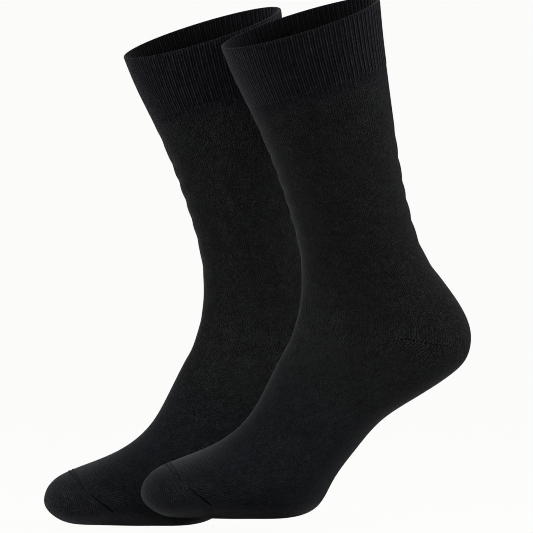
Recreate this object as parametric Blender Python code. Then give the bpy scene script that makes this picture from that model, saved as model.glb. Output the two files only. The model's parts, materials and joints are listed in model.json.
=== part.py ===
"""A pair of crew socks, filled out as if worn, for Blender 4.5.

Each sock is one knitted tube in five pieces: a ribbed cuff, a leg, a heel pocket turned on the
back stitches, a foot, and a toe pocket that closes the end. The walls are hollow and open at the
cuff. The two socks are alike, and the near one stands a step behind the far one.

Metres, +Z up. The toes point to -X and the pair stands side by side along Y, with the near sock
at -Y. The origin is where the wearer holds the pair: half way between the two cuff mouths.
"""

from collections import namedtuple

import bmesh
import bpy
import numpy as np

MM = 0.001

# Driving dimensions, in millimetres unless they are counts.
WALL = 1.5  # thickness of the plain knit
SEAM_GAP = 0.3  # between two pieces, measured along the sock
WALES = 168  # stitches round the tube: every other one stands up as a rib of the cuff
WALES_PER_COLUMN = 4  # the plain knit's mesh has one column for this many stitches
RIB_RISE = 0.8
HEEL_PIVOT_COLUMN = 11  # of the 21 columns from the front to the back, where the heel begins
HEEL_REACH = 35.0  # how far the heel pocket reaches up and down from its gore, at the back
PAIR_SPACING = 92.0  # along Y, from one sock to the other
PAIR_STEP = 64.0  # how far the far sock stands ahead
PAIR_DROP = 8.0  # how much lower the far sock hangs

# Rows of facets along each piece.
CUFF_ROWS = 4
LEG_ROWS = 8
HEEL_ROWS = 8
FOOT_ROWS = 10
TOE_ROWS = 5

COLUMNS = WALES // WALES_PER_COLUMN

# The sections from the mouth of the cuff to the tip of the toe, in millimetres. Each lies across
# the sock, from its front (shin, instep, top of the toes) to its back (calf, heel, sole). x runs
# back from the tip of the toe, and z up from the floor under the ball of the foot. side is how
# far the section's middle lies towards +Y: the cuff leans to -Y. A fullness of 2 is an ellipse,
# and more is boxier.
Section = namedtuple(
    "Section", "name front_x front_z back_x back_z half_width side front_fullness back_fullness"
)
SECTIONS = (
    Section("mouth", 52.0, 307.0, 155.0, 338.5, 46.0, -6.0, 2.0, 2.0),
    Section("cuff", 60.0, 287.5, 157.0, 316.5, 44.5, -3.4, 2.0, 2.0),
    Section("cuff end", 69.5, 268.0, 159.5, 295.5, 43.0, -1.8, 2.0, 2.0),
    Section("calf", 87.5, 226.0, 166.0, 247.0, 40.0, -0.4, 2.0, 2.0),
    Section("shin", 97.0, 198.0, 171.0, 217.5, 37.5, 0.0, 2.0, 2.0),
    Section("ankle top", 103.0, 173.5, 177.0, 192.5, 35.5, 0.0, 2.0, 2.0),
    Section("ankle", 104.5, 152.0, 188.0, 166.5, 34.5, 0.0, 2.0, 2.1),
    Section("heel top", 103.5, 140.5, 206.5, 140.5, 33.5, 0.0, 2.1, 2.2),
    Section("heel back", 102.5, 134.0, 214.5, 120.5, 33.0, 0.0, 2.1, 2.3),
    Section("gore", 101.0, 128.5, 212.5, 106.5, 33.0, 0.0, 2.1, 2.3),
    Section("heel base", 98.0, 119.0, 203.0, 95.0, 33.0, 0.0, 2.1, 2.3),
    Section("sole back", 93.0, 109.0, 179.0, 79.0, 33.5, 0.0, 2.1, 2.3),
    Section("arch", 87.0, 97.5, 157.0, 64.5, 35.0, 0.0, 2.1, 2.2),
    Section("waist", 79.0, 81.5, 139.5, 45.0, 37.0, 0.0, 2.1, 2.2),
    Section("instep", 69.0, 65.5, 125.0, 25.0, 40.0, 0.0, 2.1, 2.3),
    Section("ball back", 55.0, 53.0, 114.0, 7.5, 43.5, 0.0, 2.1, 2.4),
    Section("ball", 38.5, 44.5, 94.0, 0.5, 45.5, 0.0, 2.1, 2.5),
    Section("toes", 25.5, 39.5, 75.0, 0.0, 45.0, 0.0, 2.1, 2.5),
    Section("toe link", 12.5, 34.0, 56.5, 0.0, 42.0, 0.0, 2.1, 2.4),
    Section("toe", 4.5, 28.0, 33.0, 0.5, 34.0, 0.0, 2.1, 2.3),
    Section("toe end", 0.5, 20.5, 12.5, 3.0, 21.0, 0.0, 2.1, 2.1),
    Section("tip", 1.5, 11.5, 1.5, 11.5, 0.0, 0.0, 2.0, 2.0),
)


class Spline:
    """A natural cubic spline through rows of values, one row for each knot."""

    def __init__(self, knots, values):
        self.knots, self.values = knots, values
        self.steps = steps = np.diff(knots)
        slopes = np.diff(values, axis=0) / steps[:, None]
        matrix = np.eye(len(knots))
        bends = np.zeros_like(values)
        for i in range(1, len(knots) - 1):
            matrix[i, i - 1 : i + 2] = steps[i - 1], 2 * (steps[i - 1] + steps[i]), steps[i]
            bends[i] = 6 * (slopes[i] - slopes[i - 1])
        self.bends = np.linalg.solve(matrix, bends)

    def __call__(self, at):
        i = np.clip(np.searchsorted(self.knots, at, side="right") - 1, 0, len(self.steps) - 1)
        step = self.steps[i][:, None]
        before = (self.knots[i + 1] - at)[:, None] / step
        after = 1 - before
        line = before * self.values[i] + after * self.values[i + 1]
        curl = (before**3 - before) * self.bends[i] + (after**3 - after) * self.bends[i + 1]
        return line + curl * step**2 / 6


class SockForm:
    """The outer face of the plain knit, as points at a station and a turn.

    A station runs along the sock in millimetres, 0 at the mouth. A turn goes round the tube by
    its length: 0 is the front, 0.25 the +Y side, 0.5 the back and 0.75 the -Y side.
    """

    ARC_SAMPLES = 90
    NUDGE = 0.02  # for the slopes along and round the form, in millimetres

    def __init__(self):
        rows = np.array([section[1:] for section in SECTIONS])
        front_steps = np.hypot(*np.diff(rows[:, 0:2], axis=0).T)
        back_steps = np.hypot(*np.diff(rows[:, 2:4], axis=0).T)
        steps = (front_steps + back_steps) / 2
        knots = np.concatenate([[0.0], np.cumsum(steps)])
        self.stations = {section.name: knot for section, knot in zip(SECTIONS, knots)}
        # One row past the tip is the row before it, seen from the other side: the toe is round.
        front_x, front_z, back_x, back_z, half_width, *others = SECTIONS[-2][1:]
        past_tip = [back_x, back_z, front_x, front_z, -half_width, *others]
        rows = np.vstack([rows, past_tip])
        self.spline = Spline(np.append(knots, knots[-1] + steps[-1]), rows)

    def middles(self, stations):
        rows = self.spline(stations)
        return np.stack([(rows[:, 0] + rows[:, 2]) / 2, rows[:, 5], (rows[:, 1] + rows[:, 3]) / 2], -1)

    def points(self, stations, turns):
        """Each section stands square to the line of the middles, seen from the front."""
        rows = self.spline(stations)
        middle = self.middles(stations)
        downward = self.middles(stations + self.NUDGE) - middle
        forward = np.stack([rows[:, 0] - rows[:, 2], 0 * rows[:, 0], rows[:, 1] - rows[:, 3]], -1) / 2
        sideways = np.cross(downward, forward)
        sideways *= np.sign(sideways[:, 1:2]) / np.linalg.norm(sideways, axis=1)[:, None]

        angles = np.linspace(0, np.pi, self.ARC_SAMPLES + 1)
        fullness = np.where(angles < np.pi / 2, rows[:, 6:7], rows[:, 7:8])
        radius = (abs(np.cos(angles)) ** fullness + np.sin(angles) ** fullness) ** (-1 / fullness)
        ahead = radius * np.cos(angles)
        aside = radius * np.sin(angles) * rows[:, 4:5]
        lengths = np.hypot(
            np.diff(ahead, axis=1) * np.linalg.norm(forward, axis=1)[:, None],
            np.diff(aside, axis=1),
        ).cumsum(axis=1)
        # Turns are shared out by length, so the stitches are evenly wide all round.
        from_front = 1 - abs(1 - 2 * (turns % 1))
        side = np.where(turns % 1 <= 0.5, 1, -1)
        result = middle
        for i, share in enumerate(from_front):
            shares = np.concatenate([[0.0], lengths[i] / lengths[i, -1]])
            result[i] += forward[i] * np.interp(share, shares, ahead[i])
            result[i] += sideways[i] * np.interp(share, shares, aside[i]) * side[i]
        return result

    def face(self, stations, turns, raised):
        """A grid of points on the form, moved out by raised along the form's normals."""
        stations, turns, raised = np.broadcast_arrays(stations, turns, raised)
        at = np.minimum(stations.ravel(), self.stations["tip"] - 2 * self.NUDGE)
        turn = turns.ravel()
        here = self.points(at, turn)
        stitch = 1 / WALES
        around = self.points(at, turn + stitch) - self.points(at, turn - stitch)
        downward = self.points(at + self.NUDGE, turn) - here
        normals = np.cross(around, downward)
        normals /= np.linalg.norm(normals, axis=1)[:, None]
        return (here + normals * raised.ravel()[:, None]).reshape(*stations.shape, 3)


def rows_between(starts, ends, count):
    """A grid of stations, count facets long, from starts to ends in each column."""
    return starts + np.linspace(0, 1, count + 1)[:, None] * (ends - starts)


def heel_share(turns):
    """How much of the heel's reach lies at each turn: none at its pivots, all at the back."""
    pivot = HEEL_PIVOT_COLUMN / COLUMNS
    from_front = 0.5 - abs(0.5 - turns)
    return np.sin(np.clip((from_front - pivot) / (0.5 - pivot), 0, 1) * np.pi / 2)


def knit_wall(name, outer, inner, open_sides=False, closed_end=False):
    """A mesh of a wall's outer and inner faces, in millimetres, and of the rims that join them.

    outer may have several columns for each column of inner. closed_end draws the last row
    together in one point, and open_sides leaves the first and the last column apart.
    """
    mesh = bmesh.new()
    skins = []
    for grid in (outer * MM, inner * MM):
        rows = [[mesh.verts.new(point) for point in row] for row in grid]
        if closed_end:
            for vert in rows[-1]:
                vert.co = grid[-1].mean(axis=0)
            bmesh.ops.remove_doubles(mesh, verts=rows[-1], dist=0)
            mesh.verts.ensure_lookup_table()
            rows[-1] = [mesh.verts[-1]] * len(rows[0])
        skins.append(rows if open_sides else [row + row[:1] for row in rows])
    for rows in skins:
        for upper, lower in zip(rows, rows[1:]):
            for corners in zip(upper, upper[1:], lower[1:], lower):
                mesh.faces.new(dict.fromkeys(corners))
    outer_rows, inner_rows = skins
    wide = (len(outer_rows[0]) - 1) // (len(inner_rows[0]) - 1)
    for end in (0,) if closed_end else (0, -1):
        for i, (a, b) in enumerate(zip(inner_rows[end], inner_rows[end][1:])):
            mesh.faces.new([b, a, *outer_rows[end][i * wide : (i + 1) * wide + 1]])
    for edge in (0, -1) if open_sides else ():
        for rows in zip(outer_rows, outer_rows[1:], inner_rows[1:], inner_rows):
            mesh.faces.new([row[edge] for row in rows])
    bmesh.ops.recalc_face_normals(mesh, faces=mesh.faces)
    result = bpy.data.meshes.new(name)
    mesh.to_mesh(result)
    mesh.free()
    result.shade_smooth()
    result.set_sharp_from_angle(angle=np.radians(50))
    return result


def plain_wall(form, name, stations, turns, **shape):
    return knit_wall(name, form.face(stations, turns, 0), form.face(stations, turns, -WALL), **shape)


def cuff_wall(form):
    """Every other stitch stands up on the outside, and the inside is plain."""
    stations = rows_between(0.0, form.stations["cuff end"] - SEAM_GAP / 2, CUFF_ROWS)
    stitches = np.arange(WALES)
    ribs = np.where(stitches % 2 == 0, RIB_RISE, 0)
    plain = np.arange(COLUMNS) / COLUMNS
    outer = form.face(stations, stitches / WALES, ribs)
    return knit_wall("cuff", outer, form.face(stations, plain, -WALL))


def leg_wall(form):
    turns = np.arange(COLUMNS) / COLUMNS
    start = form.stations["cuff end"] + SEAM_GAP / 2
    ends = form.stations["gore"] - heel_share(turns) * HEEL_REACH - SEAM_GAP / 2
    return plain_wall(form, "leg", rows_between(start, ends, LEG_ROWS), turns)


def heel_wall(form):
    """The pocket that is turned on the back stitches, from pivot to pivot."""
    tip = 0.12  # of a column, where the pocket is still wide enough for a wall
    columns = np.arange(HEEL_PIVOT_COLUMN, COLUMNS - HEEL_PIVOT_COLUMN + 1.0)
    columns[0] += tip
    columns[-1] -= tip
    turns = columns / COLUMNS
    reach = heel_share(turns) * HEEL_REACH - SEAM_GAP / 2
    gore = form.stations["gore"]
    stations = rows_between(gore - reach, gore + reach, HEEL_ROWS)
    return plain_wall(form, "heel", stations, turns, open_sides=True)


def foot_wall(form):
    turns = np.arange(COLUMNS) / COLUMNS
    starts = form.stations["gore"] + heel_share(turns) * HEEL_REACH + SEAM_GAP / 2
    end = form.stations["toe link"] - SEAM_GAP / 2
    return plain_wall(form, "foot", rows_between(starts, end, FOOT_ROWS), turns)


def toe_wall(form):
    turns = np.arange(COLUMNS) / COLUMNS
    stations = rows_between(form.stations["toe link"] + SEAM_GAP / 2, form.stations["tip"], TOE_ROWS)
    return plain_wall(form, "toe", stations, turns, closed_end=True)


def cotton(name, colour, roughness):
    material = bpy.data.materials.new(name)
    material.use_nodes = True
    shader = material.node_tree.nodes["Principled BSDF"]
    shader.inputs["Base Color"].default_value = (*colour, 1)
    shader.inputs["Roughness"].default_value = roughness
    shader.inputs["Metallic"].default_value = 0
    return material


def add_sock(name, meshes, place):
    sock = bpy.data.objects.new(name, None)
    sock.location = place
    bpy.context.collection.objects.link(sock)
    for mesh in meshes:
        piece = bpy.data.objects.new(f"{name}_{mesh.name}", mesh)
        piece.parent = sock
        bpy.context.collection.objects.link(piece)


def main():
    for obj in list(bpy.data.objects):
        bpy.data.objects.remove(obj)
    form = SockForm()
    ribbed = cotton("black_ribbed_cotton", (0.013, 0.0125, 0.015), 0.95)
    leg_knit = cotton("black_leg_knit", (0.014, 0.0145, 0.0145), 0.95)
    foot_knit = cotton("black_foot_knit", (0.016, 0.017, 0.019), 0.95)
    cuff, leg, heel = cuff_wall(form), leg_wall(form), heel_wall(form)
    foot, toe = foot_wall(form), toe_wall(form)
    cuff.materials.append(ribbed)
    leg.materials.append(leg_knit)
    for mesh in (heel, foot, toe):
        mesh.materials.append(foot_knit)
    mouth = form.middles(np.array([0.0]))[0]
    apart = np.array([PAIR_STEP, -PAIR_SPACING, PAIR_DROP]) / 2
    for name, place in (("near", apart - mouth), ("far", -apart - mouth)):
        add_sock(name, (cuff, leg, heel, foot, toe), place * MM)


main()
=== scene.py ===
"""The knit and the finish of a pair of socks in their worn form, for Blender 4.5.

Each sock is a ribbed cuff and a plain knit body, a hollow shell with a turned heel and a toe that
is linked over the top. Every stitch lies where the tube's wales and courses run: a wale is a
column of stitches down the sock, and a course is a row of them round it.

Metres, +Z up, toes to -X. Lengths in the tables and in the form are millimetres.
"""

import json
from collections import namedtuple

import bpy
import numpy as np
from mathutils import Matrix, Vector


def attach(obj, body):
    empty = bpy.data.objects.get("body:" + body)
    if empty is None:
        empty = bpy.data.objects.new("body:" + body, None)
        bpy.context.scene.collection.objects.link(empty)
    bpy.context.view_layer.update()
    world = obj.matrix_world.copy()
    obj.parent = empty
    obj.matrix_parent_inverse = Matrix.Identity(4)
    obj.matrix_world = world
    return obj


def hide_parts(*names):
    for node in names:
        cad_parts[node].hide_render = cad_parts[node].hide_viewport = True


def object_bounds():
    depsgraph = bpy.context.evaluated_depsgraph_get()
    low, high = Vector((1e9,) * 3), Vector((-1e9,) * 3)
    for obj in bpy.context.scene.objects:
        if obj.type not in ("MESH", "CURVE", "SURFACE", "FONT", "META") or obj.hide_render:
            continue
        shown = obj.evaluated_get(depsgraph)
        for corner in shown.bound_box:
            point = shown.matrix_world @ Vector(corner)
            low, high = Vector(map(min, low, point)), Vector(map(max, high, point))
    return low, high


bl_info = {
    "name": "Pair of socks",
    "version": (1, 0, 0),
    "blender": (4, 5, 0),
    "location": "View3D > Sidebar > Socks",
    "description": "Adds a pair of knitted socks in their worn form",
    "category": "Add Mesh",
}

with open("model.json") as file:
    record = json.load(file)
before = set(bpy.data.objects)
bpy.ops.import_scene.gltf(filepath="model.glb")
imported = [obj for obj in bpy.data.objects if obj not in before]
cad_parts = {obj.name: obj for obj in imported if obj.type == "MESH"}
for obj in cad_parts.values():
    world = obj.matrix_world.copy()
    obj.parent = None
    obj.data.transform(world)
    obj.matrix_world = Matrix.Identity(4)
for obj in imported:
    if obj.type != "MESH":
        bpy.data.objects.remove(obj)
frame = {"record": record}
cad_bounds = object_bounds()

MM = 0.001
WALES = 168  # stitches round the tube: every other one is a rib of the cuff
RIBS = WALES // 2
COURSES = 400.0  # the UV map's height, in rows of stitches
HEEL_PIVOT = 11 / 42  # the turn where the heel pocket begins, on each side
HEEL_REACH = 35.0  # how far the pocket reaches up and down from its gore, at the back
HEEL_SLANT = -0.0013  # how many turns the pocket's wales move round the tube in each millimetre
UPPER_SLANT, LOWER_SLANT = 0.4, 1.0  # shares of it that the pocket's upper and lower halves have
LINK_PIVOT = 0.31  # the turn where the toe pocket begins to fold over, on each side
LINK_RIDGES = (0.0, 2.9)  # the linked seam's two ridges lie this far down the sock from its line
TOE_WALE = 1.33  # the toe's stitches are this wide, in millimetres
TOE_FOLD = 32.0  # how far from the fold's axis the toe's rows are as high as elsewhere
EYELETS = 112  # round the whole tube, if the heel's row went all round it
EYELET_PITCH = 2.6

# Painted light and shade on the yarn of each sock's cuff, leg and foot: a painted highlight down
# the front and the back, painted shade down the sides, and painted light on the far sock, which
# stands in the near one's shade.
Lift = namedtuple("Lift", "front side back")
PAINTED_LIGHT_LIFTS = {
    "near": {
        "cuff": Lift(1.7, 0.88, 1.2),
        "leg": Lift(1.45, 0.9, 1.15),
        "foot": Lift(1.0, 0.98, 0.85),
    },
    "far": {
        "cuff": Lift(1.1, 1.1, 1.6),
        "leg": Lift(1.2, 1.3, 1.9),
        "foot": Lift(1.4, 1.1, 1.0),
    },
}

# The sections from the mouth of the cuff to the tip of the toe, in millimetres. Each lies across
# the sock, from its front (shin, instep, top of the toes) to its back (calf, heel, sole). x runs
# back from the tip of the toe, and z up from the floor under the ball of the foot. side is how
# far the section's middle lies towards +Y: the cuff leans to -Y. A fullness of 2 is an ellipse,
# and more is boxier.
Section = namedtuple(
    "Section", "name front_x front_z back_x back_z half_width side front_fullness back_fullness"
)
SECTIONS = (
    Section("mouth", 52.0, 307.0, 155.0, 338.5, 46.0, -6.0, 2.0, 2.0),
    Section("cuff", 60.0, 287.5, 157.0, 316.5, 44.5, -3.4, 2.0, 2.0),
    Section("cuff end", 69.5, 268.0, 159.5, 295.5, 43.0, -1.8, 2.0, 2.0),
    Section("calf", 87.5, 226.0, 166.0, 247.0, 40.0, -0.4, 2.0, 2.0),
    Section("shin", 97.0, 198.0, 171.0, 217.5, 37.5, 0.0, 2.0, 2.0),
    Section("ankle top", 103.0, 173.5, 177.0, 192.5, 35.5, 0.0, 2.0, 2.0),
    Section("ankle", 104.5, 152.0, 188.0, 166.5, 34.5, 0.0, 2.0, 2.1),
    Section("heel top", 103.5, 140.5, 206.5, 140.5, 33.5, 0.0, 2.1, 2.2),
    Section("heel back", 102.5, 134.0, 214.5, 120.5, 33.0, 0.0, 2.1, 2.3),
    Section("gore", 101.0, 128.5, 212.5, 106.5, 33.0, 0.0, 2.1, 2.3),
    Section("heel base", 98.0, 119.0, 203.0, 95.0, 33.0, 0.0, 2.1, 2.3),
    Section("sole back", 93.0, 109.0, 179.0, 79.0, 33.5, 0.0, 2.1, 2.3),
    Section("arch", 87.0, 97.5, 157.0, 64.5, 35.0, 0.0, 2.1, 2.2),
    Section("waist", 79.0, 81.5, 139.5, 45.0, 37.0, 0.0, 2.1, 2.2),
    Section("instep", 69.0, 65.5, 125.0, 25.0, 40.0, 0.0, 2.1, 2.3),
    Section("ball back", 55.0, 53.0, 114.0, 7.5, 43.5, 0.0, 2.1, 2.4),
    Section("ball", 38.5, 44.5, 94.0, 0.5, 45.5, 0.0, 2.1, 2.5),
    Section("toes", 25.5, 39.5, 75.0, 0.0, 45.0, 0.0, 2.1, 2.5),
    Section("toe link", 12.5, 34.0, 56.5, 0.0, 42.0, 0.0, 2.1, 2.4),
    Section("toe", 4.5, 28.0, 33.0, 0.5, 34.0, 0.0, 2.1, 2.3),
    Section("toe end", 0.5, 20.5, 12.5, 3.0, 21.0, 0.0, 2.1, 2.1),
    Section("tip", 1.5, 11.5, 1.5, 11.5, 0.0, 0.0, 2.0, 2.0),
)

# The soft creases across the shin and the calf. A crease is deepest at its station and turn. It
# reaches this many turns to each side, and slants down by slant millimetres in a whole turn.
Crease = namedtuple("Crease", "station turn reach slant depth width")
CREASES = (
    Crease(60.0, 0.985, 0.06, 30.0, 0.45, 4.0),
    Crease(78.0, 0.975, 0.07, 45.0, 0.60, 3.6),
    Crease(91.0, 0.990, 0.08, 50.0, 0.70, 3.0),
    Crease(103.5, 0.970, 0.07, 35.0, 0.75, 3.2),
    Crease(116.5, 0.985, 0.06, 40.0, 0.55, 3.4),
    Crease(129.5, 0.980, 0.05, 25.0, 0.60, 4.2),
    Crease(149.0, 0.990, 0.05, 20.0, 0.40, 4.6),
    Crease(88.0, 0.520, 0.05, 40.0, 0.45, 3.6),
    Crease(104.0, 0.535, 0.09, 55.0, 0.80, 3.2),
    Crease(119.5, 0.525, 0.08, 70.0, 0.70, 3.4),
    Crease(132.0, 0.530, 0.10, 80.0, 0.75, 3.2),
    Crease(144.5, 0.515, 0.07, 60.0, 0.75, 3.2),
    Crease(159.5, 0.525, 0.08, 50.0, 0.60, 3.8),
    Crease(172.5, 0.510, 0.05, 30.0, 0.45, 3.8),
)


# The form


def smooth(values, low, high):
    """0 below low and 1 above high, and an even ease between them."""
    share = np.clip((values - low) / (high - low), 0, 1)
    return share * share * (3 - 2 * share)


def from_front(turns):
    """How many turns away the front is, the shorter way round the tube: 0.5 at the back."""
    return 0.5 - abs(0.5 - turns % 1)


class Spline:
    """A natural cubic spline through rows of values, one row for each knot."""

    def __init__(self, knots, values):
        self.knots, self.values = knots, values
        self.steps = steps = np.diff(knots)
        slopes = np.diff(values, axis=0) / steps[:, None]
        matrix = np.eye(len(knots))
        bends = np.zeros_like(values)
        for i in range(1, len(knots) - 1):
            matrix[i, i - 1 : i + 2] = steps[i - 1], 2 * (steps[i - 1] + steps[i]), steps[i]
            bends[i] = 6 * (slopes[i] - slopes[i - 1])
        self.bends = np.linalg.solve(matrix, bends)

    def __call__(self, at):
        i = np.clip(np.searchsorted(self.knots, at, side="right") - 1, 0, len(self.steps) - 1)
        step = self.steps[i][:, None]
        before = (self.knots[i + 1] - at)[:, None] / step
        after = 1 - before
        line = before * self.values[i] + after * self.values[i + 1]
        curl = (before**3 - before) * self.bends[i] + (after**3 - after) * self.bends[i + 1]
        return line + curl * step**2 / 6


class SockForm:
    """The outer face of the plain knit, as points at a station and a turn.

    A station runs along the sock in millimetres, 0 at the mouth. A turn goes round the tube by
    its length: 0 is the front, 0.25 the +Y side, 0.5 the back and 0.75 the -Y side.
    """

    ARC_SAMPLES = 90
    NUDGE = 0.02  # for the slopes along and round the form, in millimetres

    def __init__(self):
        rows = np.array([section[1:] for section in SECTIONS])
        front_steps = np.hypot(*np.diff(rows[:, 0:2], axis=0).T)
        back_steps = np.hypot(*np.diff(rows[:, 2:4], axis=0).T)
        steps = (front_steps + back_steps) / 2
        knots = np.concatenate([[0.0], np.cumsum(steps)])
        self.stations = {section.name: knot for section, knot in zip(SECTIONS, knots)}
        # One row past the tip is the row before it, seen from the other side: the toe is round.
        front_x, front_z, back_x, back_z, half_width, *others = SECTIONS[-2][1:]
        past_tip = [back_x, back_z, front_x, front_z, -half_width, *others]
        rows = np.vstack([rows, past_tip])
        self.spline = Spline(np.append(knots, knots[-1] + steps[-1]), rows)

    def middles(self, stations):
        """The middle of the section at each station."""
        rows = self.spline(stations)
        x, z = (rows[:, 0] + rows[:, 2]) / 2, (rows[:, 1] + rows[:, 3]) / 2
        return np.stack([x, rows[:, 5], z], -1)

    def points(self, stations, turns):
        """Points on the form. Seen from the front, a section stands square to the middles' line."""
        rows = self.spline(stations)
        middle = self.middles(stations)
        downward = self.middles(stations + self.NUDGE) - middle
        x, z = rows[:, 0] - rows[:, 2], rows[:, 1] - rows[:, 3]
        forward = np.stack([x, 0 * x, z], -1) / 2
        sideways = np.cross(downward, forward)
        sideways *= np.sign(sideways[:, 1:2]) / np.linalg.norm(sideways, axis=1)[:, None]

        angles = np.linspace(0, np.pi, self.ARC_SAMPLES + 1)
        fullness = np.where(angles < np.pi / 2, rows[:, 6:7], rows[:, 7:8])
        radius = (abs(np.cos(angles)) ** fullness + np.sin(angles) ** fullness) ** (-1 / fullness)
        ahead = radius * np.cos(angles)
        aside = radius * np.sin(angles)
        lengths = np.hypot(
            np.diff(ahead, axis=1) * np.linalg.norm(forward, axis=1)[:, None],
            np.diff(aside, axis=1) * rows[:, 4:5],
        ).cumsum(axis=1)
        shares = np.hstack([0 * lengths[:, :1], lengths / lengths[:, -1:]])
        # Turns are shared out by length, so the stitches are evenly wide all round. The rows lie
        # end to end, two units apart, for one reading of them all.
        starts = 2.0 * np.arange(len(stations))
        away = starts + 1 - abs(1 - 2 * (turns % 1))
        knots = (starts[:, None] + shares).ravel()
        side = np.where(turns % 1 <= 0.5, 1, -1) * rows[:, 4]
        return (
            middle
            + forward * np.interp(away, knots, ahead.ravel())[:, None]
            + sideways * (np.interp(away, knots, aside.ravel()) * side)[:, None]
        )

    def face(self, stations, turns, raised=0.0):
        """A grid of points on the form, moved out by raised, and the form's normals there."""
        stations, turns, raised = np.broadcast_arrays(stations, turns, raised)
        at = np.minimum(stations.ravel(), self.stations["tip"] - 2 * self.NUDGE)
        turn = turns.ravel()
        here = self.points(at, turn)
        stitch = 1 / WALES
        around = self.points(at, turn + stitch) - self.points(at, turn - stitch)
        downward = self.points(at + self.NUDGE, turn) - here
        normals = np.cross(around, downward)
        normals /= np.linalg.norm(normals, axis=1)[:, None]
        shape = (*stations.shape, 3)
        return (here + normals * raised.ravel()[:, None]).reshape(shape), normals.reshape(shape)


FORM = SockForm()
CUFF_END, GORE, LINK, TIP = (
    FORM.stations[name] for name in ("cuff end", "gore", "toe link", "tip")
)


def gore_line(turns):
    """How far the row of eyelets lies from the gore's section, down the sock.

    The row climbs behind its pivots, and drops towards the back of the heel.
    """
    climb, drop = 2.9, 1.8
    away = from_front(turns)
    return -climb * smooth(away, HEEL_PIVOT, 0.295) + drop * smooth(away, 0.395, 0.42)


def link_line(turns):
    """How far the linked seam lies from its section, down the sock.

    The seam climbs at the sides, more so over the top, and lies on its section under the toes.
    """
    side_climb, top_climb = 2.2, 6.0
    away = from_front(turns)
    top, sole = 1 - smooth(away, 0.1, 0.23), smooth(away, 0.36, 0.45)
    return -(side_climb + top_climb * top) * (1 - sole)


def painted_light_round(painted_light, turns):
    """The painted light and shade of the yarn round the tube."""
    away = from_front(turns)
    to_side, to_back = smooth(away, 0.06, 0.22), smooth(away, 0.26, 0.4)
    return painted_light.front + (painted_light.side - painted_light.front) * to_side + (painted_light.back - painted_light.side) * to_back


def sock_places():
    """Where each sock's form stands, in metres: its mouth is at its mount."""
    mouth = FORM.middles(np.array([0.0]))[0] * MM
    mounts = {mount["name"]: np.array(mount["pos_m"]) for mount in frame["record"]["mounts"]}
    return {sock: mounts[f"{sock}_leg_opening"] - mouth for sock in ("near", "far")}


# Meshes


def tube_mesh(name, rows, band_uvs, values, poles=False):
    """A mesh of rows of points that each go round a tube, in metres.

    band_uvs holds the upper and the lower edge's UV coordinates for the faces under each row,
    with one column more than the rows have. Without poles the last row joins the first.
    With them, the first and last rows are each one point.
    """
    count, columns = rows.shape[:2]
    index = np.arange(count * columns).reshape(count, columns)
    if poles:
        index = np.clip(index - (columns - 1), 0, (count - 2) * columns + 1)
    else:
        index = np.vstack([index, index[:1]])
    index = np.hstack([index, index[:, :1]])
    corners = np.stack([index[:-1, :-1], index[:-1, 1:], index[1:, 1:], index[1:, :-1]], -1)
    upper, lower = band_uvs
    uvs = np.stack([upper[:, :-1], upper[:, 1:], lower[:, 1:], lower[:, :-1]], 2)
    corners, uvs = corners.reshape(-1, 4), uvs.reshape(-1, 4, 2)
    kept = np.ones(corners.shape, bool)
    if poles:
        kept[:columns, 1] = False
        kept[-columns:, 3] = False
    points = rows.reshape(-1, 3)
    values = {key: value.reshape(count * columns, -1) for key, value in values.items()}
    if poles:
        inner = slice(columns - 1, (count - 1) * columns + 1)
        points, values = points[inner], {key: value[inner] for key, value in values.items()}

    mesh = bpy.data.meshes.new(name)
    mesh.from_pydata(points, [], [face[keep].tolist() for face, keep in zip(corners, kept)])
    mesh.uv_layers.new(name="knit").data.foreach_set("uv", uvs[kept].astype(np.float32).ravel())
    for key, value in values.items():
        kind, field = ("FLOAT", "value") if value.shape[1] == 1 else ("FLOAT_VECTOR", "vector")
        layer = mesh.attributes.new(key, kind, "POINT")
        layer.data.foreach_set(field, value.astype(np.float32).ravel())
    mesh.shade_smooth()
    return mesh


def add_object(name, mesh):
    """Adds an object of this mesh to the scene."""
    obj = bpy.data.objects.new(name, mesh)
    bpy.context.scene.collection.objects.link(obj)
    return obj


def grow(obj, tree, **inputs):
    """Makes the object the plain mesh that a Geometry Nodes tree grows from its mesh."""
    modifier = obj.modifiers.new("grow", "NODES")
    modifier.node_group = tree
    for item in tree.interface.items_tree:
        if item.name in inputs:
            modifier[item.identifier] = inputs[item.name]
    graph = bpy.context.evaluated_depsgraph_get()
    mesh = bpy.data.meshes.new_from_object(
        obj.evaluated_get(graph), preserve_all_data_layers=True, depsgraph=graph
    )
    obj.modifiers.clear()
    obj.data = mesh


# Nodes


class Value:
    """An output of a node. Arithmetic on it adds Math nodes to its tree."""

    def __init__(self, tree, socket):
        self.tree, self.socket = tree, socket

    def output(self, name):
        """Another output of the same node."""
        return Value(self.tree, self.socket.node.outputs[name])

    def math(self, operation, *others):
        """A Math node's result from this and the others."""
        return self.tree.add("ShaderNodeMath", {"operation": operation}, (self, *others))

    def __add__(self, other):
        return self.math("ADD", other)

    def __sub__(self, other):
        return self.math("SUBTRACT", other)

    def __mul__(self, other):
        return self.math("MULTIPLY", other)

    def __pow__(self, other):
        return self.math("POWER", other)

    def __abs__(self):
        return self.math("ABSOLUTE")

    def __rsub__(self, other):
        return self.tree.add("ShaderNodeMath", {"operation": "SUBTRACT"}, (other, self))

    __radd__ = __add__
    __rmul__ = __mul__


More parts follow.
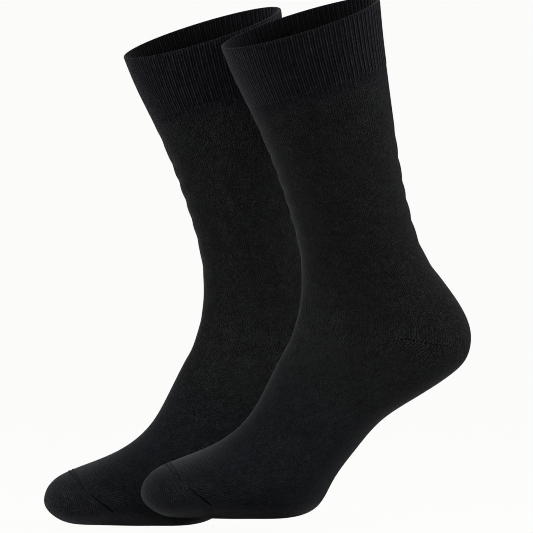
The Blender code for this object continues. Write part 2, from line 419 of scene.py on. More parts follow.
class Tree:
    """A shader or Geometry Nodes tree that is being built."""

    def __init__(self, tree):
        self.tree = tree
        tree.nodes.clear()

    def add(self, kind, settings=None, inputs=(), output=0):
        """A node of this kind. inputs holds values or links, by place or by socket name."""
        node = self.tree.nodes.new(kind)
        for name, value in (settings or {}).items():
            setattr(node, name, value)
        for key, value in inputs.items() if isinstance(inputs, dict) else enumerate(inputs):
            if isinstance(value, Value):
                self.tree.links.new(value.socket, node.inputs[key])
            else:
                node.inputs[key].default_value = value
        return Value(self, node.outputs[output]) if node.outputs else None

    def mix(self, share, first, second):
        """The first colour where share is 0, and the second where it is 1."""
        colours = {0: share, 6: first, 7: second}
        return self.add("ShaderNodeMix", {"data_type": "RGBA"}, colours, output=2)

    def step(self, value, low, high):
        """0 below low and 1 above high, and an even ease between them."""
        settings = {"interpolation_type": "SMOOTHSTEP"}
        return self.add("ShaderNodeMapRange", settings, (value, low, high, 0.0, 1.0))


def geometry_tree(name, sockets):
    """An empty Geometry Nodes tree with these named inputs, and its inputs' Values."""
    tree = bpy.data.node_groups.new(name, "GeometryNodeTree")
    tree.interface.new_socket("Geometry", in_out="INPUT", socket_type="NodeSocketGeometry")
    for socket, kind in sockets.items():
        tree.interface.new_socket(socket, in_out="INPUT", socket_type=f"NodeSocket{kind}")
    tree.interface.new_socket("Geometry", in_out="OUTPUT", socket_type="NodeSocketGeometry")
    nodes = Tree(tree)
    return nodes, nodes.add("NodeGroupInput")


def end_tree(nodes, geometry, material):
    """Ends a Geometry Nodes tree with its meshes made real and in their material."""
    realized = nodes.add("GeometryNodeRealizeInstances", inputs=[geometry])
    finished = nodes.add(
        "GeometryNodeSetMaterial", inputs={"Geometry": realized, "Material": material}
    )
    nodes.add("NodeGroupOutput", inputs=[finished])
    return nodes.tree


def rib_tree():
    """Raises ribs on a tube. Its points carry a turn, a phase, the relief and the way outward."""
    nodes, given = geometry_tree("ribs", {"Ribs": "Float", "Rise": "Float", "Material": "Material"})

    def named(name, kind="FLOAT"):
        return nodes.add("GeometryNodeInputNamedAttribute", {"data_type": kind}, {"Name": name})

    fullness = 0.7  # the ribs are fuller than a plain wave, whose fullness is 1
    phase = named("turn") * given.output("Ribs") + named("phase")
    wave = (phase * (2 * np.pi)).math("SINE") * 0.5 + 0.5
    height = wave**fullness * named("relief") * given.output("Rise")
    offset = nodes.add(
        "ShaderNodeVectorMath",
        {"operation": "SCALE"},
        {"Vector": named("outward", "FLOAT_VECTOR"), "Scale": height},
    )
    raised = nodes.add(
        "GeometryNodeSetPosition", inputs={"Geometry": given.output("Geometry"), "Offset": offset}
    )
    return end_tree(nodes, raised, given.output("Material"))


def stitch_tree():
    """Lays a bent length of yarn on each point, along its "across" and standing on "outward"."""
    nodes, given = geometry_tree(
        "stitches", {"Length": "Float", "Rise": "Float", "Yarn": "Float", "Material": "Material"}
    )
    half = given.output("Length") * 0.5
    segments = 6  # along the yarn and round it

    def vector(x, z):
        return nodes.add("ShaderNodeCombineXYZ", inputs=(x, 0.0, z))

    arc = nodes.add(
        "GeometryNodeCurveQuadraticBezier",
        inputs={
            "Resolution": segments,
            "Start": vector(half * -1.0, given.output("Yarn") * -1.0),
            "Middle": vector(0.0, given.output("Rise") * 2.0),
            "End": vector(half, given.output("Yarn") * -1.0),
        },
    )
    ring = nodes.add(
        "GeometryNodeCurvePrimitiveCircle",
        {"mode": "RADIUS"},
        {"Resolution": segments, "Radius": given.output("Yarn")},
    )
    yarn = nodes.add(
        "GeometryNodeCurveToMesh", inputs={"Curve": arc, "Profile Curve": ring, "Fill Caps": True}
    )
    vectors = {"data_type": "FLOAT_VECTOR"}
    turned = nodes.add(
        "FunctionNodeAxesToRotation",
        {"primary_axis": "Z", "secondary_axis": "X"},
        (
            nodes.add("GeometryNodeInputNamedAttribute", vectors, {"Name": "outward"}),
            nodes.add("GeometryNodeInputNamedAttribute", vectors, {"Name": "across"}),
        ),
    )
    laid = nodes.add(
        "GeometryNodeInstanceOnPoints",
        inputs={"Points": given.output("Geometry"), "Instance": yarn, "Rotation": turned},
    )
    return end_tree(nodes, laid, given.output("Material"))


# The settings


class KnitSettings(bpy.types.PropertyGroup):
    """Sizes and colours of the knit."""

    wall: bpy.props.FloatProperty(
        name="Wall", description="Thickness of the plain knit", default=1.5 * MM, unit="LENGTH"
    )
    rib_rise: bpy.props.FloatProperty(
        name="Rib rise", description="Height of the cuff's ribs", default=0.42 * MM, unit="LENGTH"
    )
    course: bpy.props.FloatProperty(
        name="Course", description="Height of one row of stitches", default=1.3 * MM, unit="LENGTH"
    )
    yarn: bpy.props.FloatProperty(
        name="Yarn",
        description="Radius of the yarn at the heel and toe",
        default=0.27 * MM,
        unit="LENGTH",
    )
    cuff_colour: bpy.props.FloatVectorProperty(
        name="Cuff",
        description="Colour of the ribbed cuff",
        default=(0.0053, 0.0053, 0.0067),
        subtype="COLOR",
    )
    leg_colour: bpy.props.FloatVectorProperty(
        name="Leg",
        description="Colour of the leg",
        default=(0.0064, 0.0067, 0.0067),
        subtype="COLOR",
    )
    heel_colour: bpy.props.FloatVectorProperty(
        name="Heel",
        description="Colour of the knit round the heel",
        default=(0.0076, 0.0080, 0.0079),
        subtype="COLOR",
    )
    foot_colour: bpy.props.FloatVectorProperty(
        name="Foot",
        description="Colour of the foot",
        default=(0.0060, 0.0068, 0.0084),
        subtype="COLOR",
    )
    toe_colour: bpy.props.FloatVectorProperty(
        name="Toe",
        description="Colour of the toe",
        default=(0.0115, 0.0124, 0.0139),
        subtype="COLOR",
    )


class StudioSettings(bpy.types.PropertyGroup):
    """The camera and the light."""

    lens: bpy.props.FloatProperty(
        name="Lens", description="Focal length, in millimetres", default=1500.0
    )
    elevation: bpy.props.FloatProperty(
        name="Elevation",
        description="How far the camera looks down",
        default=np.radians(1.5),
        subtype="ANGLE",
    )
    view_width: bpy.props.FloatProperty(
        name="View width",
        description="Width that the camera sees at the near sock",
        default=0.3465,
        unit="LENGTH",
    )
    aim: bpy.props.FloatVectorProperty(
        name="Aim",
        description="What the camera looks at",
        default=(0.0101, -0.04, -0.1547),
        subtype="XYZ",
    )
    front_power: bpy.props.FloatProperty(
        name="Front light",
        description="Power of the light beside the camera, in watts",
        default=75.0,
    )
    left_power: bpy.props.FloatProperty(
        name="Left light",
        description="Power of the light before the toes, in watts",
        default=25.0,
    )
    right_power: bpy.props.FloatProperty(
        name="Right light",
        description="Power of the light behind the heels, in watts",
        default=42.0,
    )
    white: bpy.props.FloatVectorProperty(
        name="White",
        description="Colour of the floor and what is behind it",
        default=(0.973, 0.973, 0.965),
        subtype="COLOR",
    )


# Materials

# How many features of each kind of unevenness there are to a metre of cloth.
CLOUDS, SHIFTS, PATCHES, FIBRES, STRANDS = 110.0, 350.0, 430.0, 1500.0, 2500.0
BUMP = 0.17 * MM  # how far the stitches and their fibres seem to stand out
# The cuff's colour becomes the leg's between these stations.
CUFF_COLOUR_END = (CUFF_END + 2.0, CUFF_END + 15.0)


def surface_material(name, tree_builder):
    """A material whose surface is the shader that tree_builder adds to its nodes."""
    material = bpy.data.materials.new(name)
    material.use_nodes = True
    nodes = Tree(material.node_tree)
    nodes.add("ShaderNodeOutputMaterial", inputs={"Surface": tree_builder(nodes)})
    return material


def noise(nodes, scale, detail, roughness=0.5):
    """Unevenness of the cloth, 0.5 on average."""
    coordinates = nodes.add("ShaderNodeTexCoord").output("Object")
    settings = {"Vector": coordinates, "Scale": scale, "Detail": detail, "Roughness": roughness}
    return nodes.add("ShaderNodeTexNoise", inputs=settings)


def stitches(nodes, uneven):
    """The wale's number round the tube, how far in from its edge, and how high on a loop of yarn.

    The last two go from 0 to 1. uneven moves the stitches from their places, in stitches.
    """
    uv = nodes.add("ShaderNodeUVMap", {"uv_map": "knit"})
    split = nodes.add("ShaderNodeSeparateXYZ", inputs=[uv])
    moved = (noise(nodes, SHIFTS, 1.0) - 0.5) * uneven
    wale, course = split * float(WALES), split.output("Y") * COURSES + moved
    inward = 1.0 - abs((wale + moved).math("FRACT") * 2.0 - 1.0)
    loop = ((course + inward * 0.5).math("FRACT") * np.pi).math("SINE")
    return wale, inward, loop


def attribute(nodes, name):
    """A value that the mesh's points carry."""
    return nodes.add("ShaderNodeAttribute", {"attribute_name": name}, output="Fac")


def rib_wave(wale):
    """1 on a rib and 0 between two ribs: every other wale is a rib."""
    return (wale * np.pi).math("SINE") * 0.5 + 0.5


def knit_shader(nodes, colour, height, tone):
    """Matt cotton yarn. height is the relief of the stitches, and its low places are painted darker
    as painted shade. tone scales the colour.
    """
    fibres = noise(nodes, FIBRES, 2.0)
    cloudy = noise(nodes, CLOUDS, 3.0, 0.85) * 1.4 + 0.3
    patchy = noise(nodes, PATCHES, 1.0, 1.0) * 1.6 + 0.2
    fleck = ((fibres - 0.5) * 4.0 + 1.0).math("MAXIMUM", 0.1)
    # Painted shade: the colour is darker where the stitches are low, in the gaps between them.
    shade = tone * (height * 1.5 + 0.1) * fleck * cloudy * patchy
    grey = nodes.add("ShaderNodeCombineColor", inputs=(shade, shade, shade))
    tinted = nodes.add(
        "ShaderNodeMix",
        {"data_type": "RGBA", "blend_type": "MULTIPLY"},
        {0: 1.0, 6: colour, 7: grey},
        output=2,
    )
    relief = height + fibres * 0.5
    bump = nodes.add(
        "ShaderNodeBump", inputs={"Strength": 1.0, "Distance": BUMP, "Height": relief}
    )
    return nodes.add(
        "ShaderNodeBsdfPrincipled",
        inputs={
            "Base Color": tinted,
            "Roughness": 1.0 - height * 0.1,
            "Specular IOR Level": 0.05,
            "Sheen Weight": 0.075,
            "Sheen Roughness": 0.4,
            "Sheen Tint": (0.93, 0.95, 1.0, 1.0),
            "Normal": bump,
        },
    )


def ribbed_shader(nodes, knit):
    """The cuff's knit. Its ribs are light, with painted shade in the grooves between them and
    inside the cuff, and it is plainer and painted lighter where they run out, a painted highlight
    on the rim.
    """
    wale, inward, loop = stitches(nodes, 0.3)
    inner = attribute(nodes, "phase") * 2.0  # 1 on the inside, where the grooves are the ribs
    crest = abs(inner - rib_wave(wale))
    relief = attribute(nodes, "relief")
    line = (inward * (np.pi / 2)).math("SINE") ** 2.5
    # Painted shade: the grooves between the ribs and the gaps between the wales are painted darker.
    ribbed = (line * 0.9 + 0.49) * (crest * 0.5 + 0.7)
    deep = nodes.step(attribute(nodes, "station"), 0.0, 16.0)
    # Painted shade inside the cuff.
    inside = 1.0 - inner * (deep * 0.34 + 0.42)  # the inside is darker, the more so further down
    # The tone holds the painted shade of the grooves and the inside, the painted highlight where
    # the ribs run out, and the sock's painted light and shade.
    tone = (ribbed * relief + (1.0 - relief) * 1.3) * inside * attribute(nodes, "painted_light")
    return knit_shader(nodes, (*knit.cuff_colour, 1), line * (loop * 0.3 + 0.7), tone)


def plain_shader(nodes, knit):
    """The knit of the leg, heel, foot and toe, whose colour and stitches change down the sock."""
    station, shadow, eyelet, even = (
        attribute(nodes, name) for name in ("station", "shadow", "eyelet", "even")
    )
    # Below the gore the wales run straighter, and the loops show less.
    straight = nodes.step(station, GORE - 8.0, GORE + 20.0)
    wale, inward, loop = stitches(nodes, 1.2 - straight * 0.5)
    colour = (*knit.cuff_colour, 1)
    for low, high, next_colour in (
        (*CUFF_COLOUR_END, knit.leg_colour),
        (GORE - 60.0, GORE, knit.heel_colour),
        (GORE + 15.0, LINK - 50.0, knit.foot_colour),
        (LINK - 30.0, LINK + 20.0, knit.toe_colour),
    ):
        colour = nodes.mix(nodes.step(station, low, high), colour, (*next_colour, 1))
    looped = 0.85 - straight * 0.35
    height = (inward * (np.pi / 2)).math("SINE") * ((loop - 0.64) * looped + 0.69)
    # An even knit shows its stitches less. They are crisper again towards the toe.
    crisp = nodes.step(station, LINK - 70.0, LINK - 25.0)
    even = even.math("MAXIMUM", straight * (0.42 - crisp * 0.12))
    height = height * (1.0 - even) + even * 0.45
    height = height ** (crisp * 0.4 + 1.0) * (crisp * 0.2 + 1.0)
    # The eyelets stand in one row, where the two halves of the heel pocket meet. They are painted
    # black, painted shade for holes that the mesh doesn't cut.
    beside = abs((wale * (EYELETS / WALES)).math("FRACT") - 0.5) * EYELET_PITCH
    apart = ((station - GORE) ** 2.0 + beside**2.0) ** 0.5
    painted_eyelet_shade = (1.0 - nodes.step(apart, 0.3, 0.9)) * eyelet
    # The seam's painted shadow and the eyelets' painted shade are mixed to black.
    painted_black_shade = shadow.math("MAXIMUM", painted_eyelet_shade)
    # The cuff's ribs run out in the first rows of the leg as painted shade between them, and its
    # colour runs out there too. Its colour is the darker one, so the tone is raised there. The tone
    # also holds the seam's painted shadow and the sock's painted light and shade.
    ribbed = 1.0 - nodes.step(station, CUFF_END + 1.0, CUFF_END + 9.0)
    below_cuff = 1.0 - nodes.step(station, *CUFF_COLOUR_END)
    tone = (1.0 - shadow) * attribute(nodes, "painted_light") * (below_cuff * 0.25 + 1.0)
    tone = tone * (1.0 - (1.0 - rib_wave(wale)) * ribbed * 0.6)
    surface = knit_shader(nodes, colour, height * (1.0 - painted_black_shade), tone)
    black = nodes.add("ShaderNodeBsdfDiffuse", inputs={"Color": (0.001, 0.001, 0.001, 1)})
    return nodes.add("ShaderNodeMixShader", inputs=(painted_black_shade, surface, black))


def yarn_shader(nodes, colour):
    """A single yarn of the heel's and the toe's stitches."""
    strands = noise(nodes, STRANDS, 2.0)
    return knit_shader(nodes, (*colour, 1), strands + 0.4, strands + 0.8)


# The knit's own coordinates


def heel_reach(turns):
    """How far the heel pocket reaches from its gore at each turn, behind its pivots."""
    behind = np.clip((from_front(turns) - HEEL_PIVOT) / (0.5 - HEEL_PIVOT), 0, 1)
    return np.sin(behind * np.pi / 2) * HEEL_REACH


def tube_coordinates(stations, turns, points, course):
    """The wales and courses above and below the gore, for a grid of points.

    In the heel pocket the wales slant towards the gore, and the courses are as high as elsewhere,
    so the two halves of the pocket meet at a mitre.
    """
    row = np.argmin(abs(stations - GORE))
    lengths = np.linalg.norm(np.diff(points, axis=0), axis=2)
    along = np.vstack([0 * lengths[:1], lengths.cumsum(axis=0)])
    along -= along[row]
    from_back = 0.5 - turns
    slant = np.sign(from_back) * smooth(abs(from_back), 0.0, 0.14) * HEEL_SLANT
    halves = []
    for side, share in ((-1, UPPER_SLANT), (1, LOWER_SLANT)):
        edge = heel_reach(turns) * side
        at_edge = np.array(
            [np.interp(GORE + reach, stations, column) for reach, column in zip(edge, along.T)]
        )
        inside = (stations[:, None] - GORE) * side < abs(edge)
        to_edge = abs(at_edge - along)
        pocket = GORE + edge + along - at_edge
        wales = turns + np.where(inside, slant * share * to_edge, 0)
        courses = np.where(inside, pocket, stations[:, None]) / course
        halves.append(np.stack([wales, courses], -1))
    return halves


def toe_coordinates(stations, turns, points, course):
    """The wales and courses beyond the link: the wales bend round its two ends.

    Also gives how far each point lies from the nearer end.
    """
    away = from_front(turns)
    ends, _ = FORM.face(LINK + link_line(LINK_PIVOT), np.array([1 - LINK_PIVOT, LINK_PIVOT, 0.5]))
    middle = ends[:2].mean(axis=0)
    down = ends[2] - middle
    down /= np.linalg.norm(down)
    ahead = np.cross(down, [0, 1, 0])
    ahead *= -np.sign(ahead[0])
    arms = points - middle
    under = np.arctan2(arms @ ahead, arms @ down)
    apart = np.linalg.norm(points[:, :, None] - ends[:2], axis=-1).min(axis=2)
    beyond = smooth(stations[:, None], LINK, LINK + 14)
    sole = smooth(away, LINK_PIVOT, LINK_PIVOT + 0.01) * (1 - beyond)
    wales = apart / (TOE_WALE * WALES) * (1 - sole) + abs(away - LINK_PIVOT) * sole
    courses = (LINK + np.maximum(under, 0) * TOE_FOLD) / course
    return np.stack([wales, courses], -1), apart


# Operators


class SOCKS_OT_cuffs(bpy.types.Operator):
    """Adds the ribbed cuffs"""

    bl_idname = "socks.cuffs"
    bl_label = "Ribbed cuffs"

    POINTS_PER_RIB = 10
    ROW = 1.7  # spacing of the rows
    RIM_ROWS = 6
    RIM_RELIEF = 0.2  # share of the ribs' rise that the rim keeps
    FADE = 1.4  # the ribs run out over this length
    FADE_ROWS = (0.6, 0.3, 0.0)  # shares of it that more rows stand above the cuff's end

    def execute(self, context):
        knit = context.scene.sock_knit
        material = surface_material("ribbed black cotton", lambda nodes: ribbed_shader(nodes, knit))
        tree = rib_tree()
        wall = knit.wall / MM
        turns = np.linspace(0, 1, RIBS * self.POINTS_PER_RIB + 1)
        down = np.linspace(0, CUFF_END - self.FADE, round(CUFF_END / self.ROW))
        down = np.concatenate([down, CUFF_END - self.FADE * np.array(self.FADE_ROWS)])
        over = np.linspace(np.pi, 0, self.RIM_ROWS + 1)[1:-1]
        lip = wall / 2
        # Down the outside, up the inside and over the rim.
        below_lip = down * (1 - lip / CUFF_END)
        rim = lip * (1 - np.sin(over))
        stations = np.concatenate([lip + below_lip, CUFF_END - below_lip, rim])
        raised = np.concatenate([0 * down, 0 * down - wall, -wall / 2 + lip * np.cos(over)])
        side = np.concatenate([0 * down + 1, 0 * down - 1, np.cos(over)])
        relief = smooth(CUFF_END - stations, 0, self.FADE)
        relief *= self.RIM_RELIEF + (1 - self.RIM_RELIEF) * smooth(stations, lip, 3 * lip)
        points, normals = FORM.face(stations[:, None], turns[:-1], raised[:, None])
        grid = np.ones(points.shape[:2])
        # The ribs are stretched flat over the shin, and less so over the calf.
        away = from_front(turns[:-1])
        relief_round = 0.25 + 0.75 * smooth(away, 0.07, 0.23) - 0.4 * smooth(away, 0.36, 0.48)
        values = {
            "turn": grid * turns[:-1],
            "phase": grid * np.where(side > 0, 0, 0.5)[:, None],
            "relief": relief_round * (relief * abs(side))[:, None],
            "station": grid * stations[:, None],
            "outward": normals * side[:, None, None],
        }
        courses = np.append(stations, stations[0]) / (knit.course / MM) / COURSES
        uvs = np.stack(np.broadcast_arrays(turns, courses[:, None]), -1)
        for sock, place in sock_places().items():
            # Painted light and shade round the cuff.
            values["painted_light"] = grid * painted_light_round(PAINTED_LIGHT_LIFTS[sock]["cuff"], turns[:-1])
            mesh = tube_mesh("cuff", points * MM + place, (uvs[:-1], uvs[1:]), values)
            cuff = add_object(f"{sock}_ribbed_cuff", mesh)
            grow(cuff, tree, Ribs=float(RIBS), Rise=knit.rib_rise, Material=material)
            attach(cuff, "root")
            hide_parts(f"{sock}_cuff")
        return {"FINISHED"}


class SOCKS_OT_yarns(bpy.types.Operator):
    """Adds the yarn that shows between the heel's eyelets, and the toe's linked stitches"""

    bl_idname = "socks.yarns"
    bl_label = "Heel and toe stitches"

    GORE_END = 0.43  # the turn where the row of eyelets ends, towards the back
    LINK_END = 0.215  # the turn where the linked stitches sink into the crease
    # How far down the sock from their row the two lines of stitches lie, how much a stitch slants,
    # in degrees, and its length.
    GORE_STITCHES = ((-0.8, 0.8), 50, 2.0)
    LINK_STITCHES = (LINK_RIDGES, 35, 1.3)

    @staticmethod
    def places(turns, stations, slant):
        """Points on the form, the way outward there, and a way that slants down from backward."""
        points, outward = FORM.face(stations, turns)
        short_way = 0.5
        downward = FORM.face(stations + short_way, turns)[0] - points
        downward /= np.linalg.norm(downward, axis=1)[:, None]
        backward = np.cross(downward, outward) * np.where(turns % 1 < 0.5, -1, 1)[:, None]
        across = backward * np.cos(slant) + downward * np.sin(slant)
        return points, outward, across

    def execute(self, context):
        knit = context.scene.sock_knit
        tree = stitch_tree()
        between = np.arange(EYELETS) / EYELETS
        from_back = abs(between - 0.5)
        gore = between[(from_back < 0.5 - HEEL_PIVOT) & (from_back > 0.5 - self.GORE_END)]
        wales = (np.arange(WALES) + 0.5) / WALES
        link = wales[abs((wales + 0.5) % 1 - 0.5) < self.LINK_END]
        rows = (
            ("heel", knit.heel_colour, gore, GORE + gore_line(gore), self.GORE_STITCHES),
            ("toe", knit.foot_colour, link, LINK + link_line(link), self.LINK_STITCHES),
        )
        for name, colour, turns, stations, (lines, degrees, length) in rows:
            material = surface_material(
                f"black {name} yarn", lambda nodes: yarn_shader(nodes, colour)
            )
            slant = np.radians(degrees)
            for sock, place in sock_places().items():
                upper = self.places(turns, stations + lines[0], slant)
                lower = self.places(turns, stations + lines[1], -slant)
                points, outward, across = (np.concatenate(pair) for pair in zip(upper, lower))
                mesh = bpy.data.meshes.new("yarn")
                mesh.from_pydata(points * MM + place, [], [])
                for key, value in (("outward", outward), ("across", across)):
                    layer = mesh.attributes.new(key, "FLOAT_VECTOR", "POINT")
                    layer.data.foreach_set("vector", value.astype(np.float32).ravel())
                yarn = add_object(f"{sock}_yarn_at_the_{name}", mesh)
                sizes = {"Length": length * MM, "Rise": knit.yarn, "Yarn": knit.yarn}
                grow(yarn, tree, Material=material, **sizes)
                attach(yarn, "root")
        return {"FINISHED"}


class SOCKS_OT_bodies(bpy.types.Operator):
    """Adds the leg, heel, foot and toe of each sock, one shell that is open at the cuff"""

    bl_idname = "socks.bodies"
    bl_label = "Leg, heel, foot and toe"

    ROW = 1.9  # spacing of the rows
    TOE_ROW = 1.3
    FINE_ROW = 0.3  # close to the gore and to the link
    FINE_ROWS = 13  # on each side of them
    INNER_ROW = 4.0  # up the inside
    LIP = 0.2  # one row stands this close to the open end, so the end's corners look sharp
    RIDGE_RISE, RIDGE_WIDTH = 0.25, 0.6  # of each of the linked seam's ridges
    CREASE_DEPTH = 1.25  # where the seam's ends are drawn in
    BULGE_RISE, BULGE_WIDTH, BULGE_OFFSET = 0.3, 0.8, 1.7  # of the knit beside that crease
    LINE_REACHES = ((GORE, gore_line, 24), (LINK, link_line, 14))  # the rows bend with both lines

    def outer_stations(self):
        """The stations of the outer face's rows, which are closer at the gore and at the link."""
        fine = self.FINE_ROW * np.arange(-self.FINE_ROWS, self.FINE_ROWS + 1)
        spans = (
            [CUFF_END],
            np.arange(CUFF_END + self.LIP, GORE + fine[0] - self.FINE_ROW, self.ROW),
            GORE + fine,
            np.arange(GORE + fine[-1] + self.ROW / 2, LINK + fine[0] - self.FINE_ROW, self.ROW),
            LINK + fine,
            np.linspace(LINK + fine[-1] + self.TOE_ROW, TIP, round((TIP - LINK) / self.TOE_ROW)),
        )
        return np.concatenate(spans)

    def relief(self, stations, turns):
        """How far the knit stands out at the linked seam and the creases, and the seam's painted
        shadow.
        """
        away = from_front(turns)
        ridge = (0.3 + 0.7 * smooth(away, 0.06, 0.16)) * (1 - smooth(away, 0.19, 0.225))
        crease = smooth(away, 0.205, 0.225) * (1 - smooth(away, 0.294, 0.302))
        apart = stations - LINK
        ridges = (np.exp(-(((apart - line) / self.RIDGE_WIDTH) ** 2)) for line in LINK_RIDGES)
        ridge = ridge * sum(ridges)
        width = 0.36 + 0.34 * smooth(away, 0.22, 0.3)
        beside = (abs(apart) - self.BULGE_OFFSET) / self.BULGE_WIDTH
        raised = self.RIDGE_RISE * ridge
        raised = raised - self.CREASE_DEPTH * np.exp(-((apart / width) ** 2)) * crease
        raised = raised + self.BULGE_RISE * np.exp(-(beside**2)) * crease
        for fold in CREASES:
            aside = (turns - fold.turn + 0.5) % 1 - 0.5
            down = (stations - fold.station - fold.slant * aside) / fold.width
            raised = raised - fold.depth * np.exp(-(down**2) - (aside / fold.reach) ** 2)
        return raised, np.exp(-((apart / width) ** 4)) * crease

    def execute(self, context):
        knit = context.scene.sock_knit
        course = knit.course / MM
        wall = knit.wall / MM
        material = surface_material("plain black cotton", lambda nodes: plain_shader(nodes, knit))
        turns = np.linspace(0, 1, WALES + 1)
        outer = self.outer_stations()
        raised, shadow = self.relief(outer[:, None], turns)
        lowered = outer[:, None]
        for line, shift, reach in self.LINE_REACHES:
            lowered = lowered + shift(turns) * np.exp(-(((outer[:, None] - line) / reach) ** 2))
        outside, _ = FORM.face(lowered, turns, raised)
        inner = np.linspace(TIP, CUFF_END + self.LIP, round((TIP - CUFF_END) / self.INNER_ROW))
        inner = np.append(inner, CUFF_END)
        inside, _ = FORM.face(inner[:, None], turns, -wall)
        points = np.concatenate([inside, outside])
        stations = np.concatenate([inner, outer])
        above, below = tube_coordinates(outer, turns, outside, course)
        toe, apart = toe_coordinates(outer, turns, outside, course)
        grids = np.stack([above, below, toe])
        rows = np.arange(len(outer) - 1)
        on_line = 0.01  # a row this close to the gore or to the link lies on it
        region = np.searchsorted([GORE - on_line, LINK - on_line], outer[:-1])
        upper, lower = grids[region, rows], grids[region, rows + 1]
        plain = np.stack(np.broadcast_arrays(turns, inner[:, None] / course), -1)
        uppers = np.concatenate([plain, upper])
        lowers = np.concatenate([plain[1:], plain[-1:], lower])
        away = from_front(turns)
        eyelet = smooth(away, HEEL_PIVOT, HEEL_PIVOT + 0.01) * (1 - 0.75 * smooth(away, 0.33, 0.42))
        none = np.zeros(inside.shape[:2])
        # The stitches show least down the middle of the leg and round the ends of the link.
        along = outer[:, None]
        mid_leg = smooth(along, CUFF_END + 25, CUFF_END + 60) * (1 - smooth(along, GORE - 2, GORE))
        even = 0.1 + mid_leg * (0.4 - 0.12 * smooth(along, GORE - 85, GORE - 60))
        even = np.maximum(even, 0.9 * np.exp(-((apart / 7) ** 2)))
        values = {
            "station": np.broadcast_to(stations[:, None], points.shape[:2]),
            "shadow": np.concatenate([none, shadow]),
            "eyelet": np.concatenate([none, np.broadcast_to(eyelet, outside.shape[:2])]),
            "even": np.concatenate([none, even]),
        }
        uppers[..., 1] /= COURSES
        lowers[..., 1] /= COURSES
        kept = {key: value[:, :-1] for key, value in values.items()}
        for sock, place in sock_places().items():
            # Painted light and shade round the leg and the foot, blended from the one to the other.
            leg, foot = (painted_light_round(PAINTED_LIGHT_LIFTS[sock][painted_part], turns[:-1]) for painted_part in ("leg", "foot"))
            kept["painted_light"] = leg + (foot - leg) * smooth(stations[:, None], GORE, LINK)
            placed = points[:, :-1] * MM + place
            mesh = tube_mesh("body", placed, (uppers, lowers), kept, poles=True)
            body = add_object(f"{sock}_knit_body", mesh)
            mesh.materials.append(material)
            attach(body, "root")
            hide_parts(*(f"{sock}_{piece}" for piece in ("leg", "heel", "foot", "toe")))
        return {"FINISHED"}


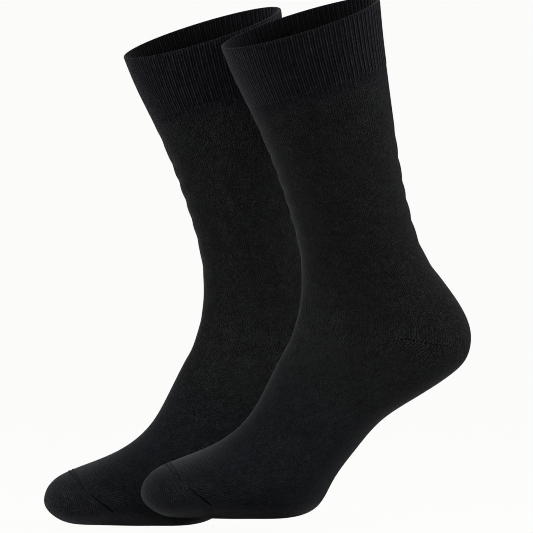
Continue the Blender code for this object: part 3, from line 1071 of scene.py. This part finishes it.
class SOCKS_OT_stage(bpy.types.Operator):
    """Adds the floor, the lights and the camera"""

    bl_idname = "socks.stage"
    bl_label = "Floor, lights and camera"

    FLOOR = 80.0  # its width, in metres
    GAP = 0.5 * MM  # from the floor up to the lowest sole

    def execute(self, context):
        studio = context.scene.sock_studio
        scene = context.scene
        low = cad_bounds[0][2] - self.GAP
        half = self.FLOOR / 2
        mesh = bpy.data.meshes.new("floor")
        corners = [(-half, -half, low), (half, -half, low), (half, half, low), (-half, half, low)]
        mesh.from_pydata(corners, [], [(0, 1, 2, 3)])

        def floor_shader(nodes):
            return nodes.add(
                "ShaderNodeBsdfPrincipled",
                inputs={
                    "Base Color": (0.04, 0.04, 0.04, 1),
                    "Roughness": 1.0,
                    "Specular IOR Level": 0.0,
                    "Emission Color": (*studio.white, 1),
                    "Emission Strength": 0.983,
                },
            )

        mesh.materials.append(surface_material("white floor", floor_shader))
        floor = add_object("floor", mesh)
        # The floor glows, and doesn't light the socks from below.
        floor.visible_diffuse = False
        floor.visible_glossy = False

        scene.world = bpy.data.worlds.new("studio")
        scene.world.use_nodes = True
        nodes = Tree(scene.world.node_tree)
        direction = nodes.add("ShaderNodeSeparateXYZ", inputs=[nodes.add("ShaderNodeTexCoord")])
        upward = nodes.step(direction.output("Z"), -0.4, 0.9)
        dome = nodes.mix(upward, (0.05, 0.05, 0.05, 1), (0.2, 0.2, 0.2, 1))
        seen = nodes.add("ShaderNodeLightPath")
        colour = nodes.mix(seen, dome, (*studio.white, 1))
        background = nodes.add("ShaderNodeBackground", inputs={"Color": colour, "Strength": 1.0})
        nodes.add("ShaderNodeOutputWorld", inputs={"Surface": background})
        scene.view_settings.view_transform = "Standard"
        scene.cycles.filter_width = 1.0  # pixels, for crisp stitches; Blender's own is 1.5

        for name, place, size, power in (
            ("front light", (-0.6, -3.2, 0.7), 1.6, studio.front_power),
            ("left light", (-1.6, -0.8, -0.15), 0.8, studio.left_power),
            ("right light", (1.8, -0.7, 0.45), 1.2, studio.right_power),
        ):
            light = bpy.data.lights.new(name, "AREA")
            light.size = size
            light.energy = power
            lamp = bpy.data.objects.new(name, light)
            lamp.location = place
            lamp.visible_camera = False
            away = Vector(place) - Vector(studio.aim)
            lamp.rotation_euler = away.to_track_quat("Z", "Y").to_euler()
            scene.collection.objects.link(lamp)

        camera = bpy.data.cameras.new("camera")
        camera.lens = studio.lens
        camera.clip_end = 100.0
        distance = studio.view_width * camera.lens / camera.sensor_width
        viewer = bpy.data.objects.new("camera", camera)
        back = np.array([0, -np.cos(studio.elevation), np.sin(studio.elevation)])
        viewer.location = np.array(studio.aim) + back * distance
        viewer.rotation_euler = (np.pi / 2 - studio.elevation, 0, 0)
        scene.collection.objects.link(viewer)
        scene.camera = viewer
        return {"FINISHED"}


OPERATORS = (SOCKS_OT_cuffs, SOCKS_OT_yarns, SOCKS_OT_bodies, SOCKS_OT_stage)


class SOCKS_PT_panel(bpy.types.Panel):
    """Lists the pieces of the socks"""

    bl_label = "Socks"
    bl_idname = "SOCKS_PT_panel"
    bl_space_type = "VIEW_3D"
    bl_region_type = "UI"
    bl_category = "Socks"

    def draw(self, context):
        for settings in (context.scene.sock_knit, context.scene.sock_studio):
            for name in settings.__annotations__:
                self.layout.prop(settings, name)
        for operator in OPERATORS:
            self.layout.operator(operator.bl_idname)


CLASSES = (KnitSettings, StudioSettings, *OPERATORS, SOCKS_PT_panel)


def register():
    for cls in CLASSES:
        bpy.utils.register_class(cls)
    bpy.types.Scene.sock_knit = bpy.props.PointerProperty(type=KnitSettings)
    bpy.types.Scene.sock_studio = bpy.props.PointerProperty(type=StudioSettings)


def unregister():
    del bpy.types.Scene.sock_knit, bpy.types.Scene.sock_studio
    for cls in reversed(CLASSES):
        bpy.utils.unregister_class(cls)


def main():
    register()
    bpy.ops.socks.cuffs()
    bpy.ops.socks.yarns()
    bpy.ops.socks.bodies()
    bpy.ops.socks.stage()


if __name__ == "__main__":
    main()
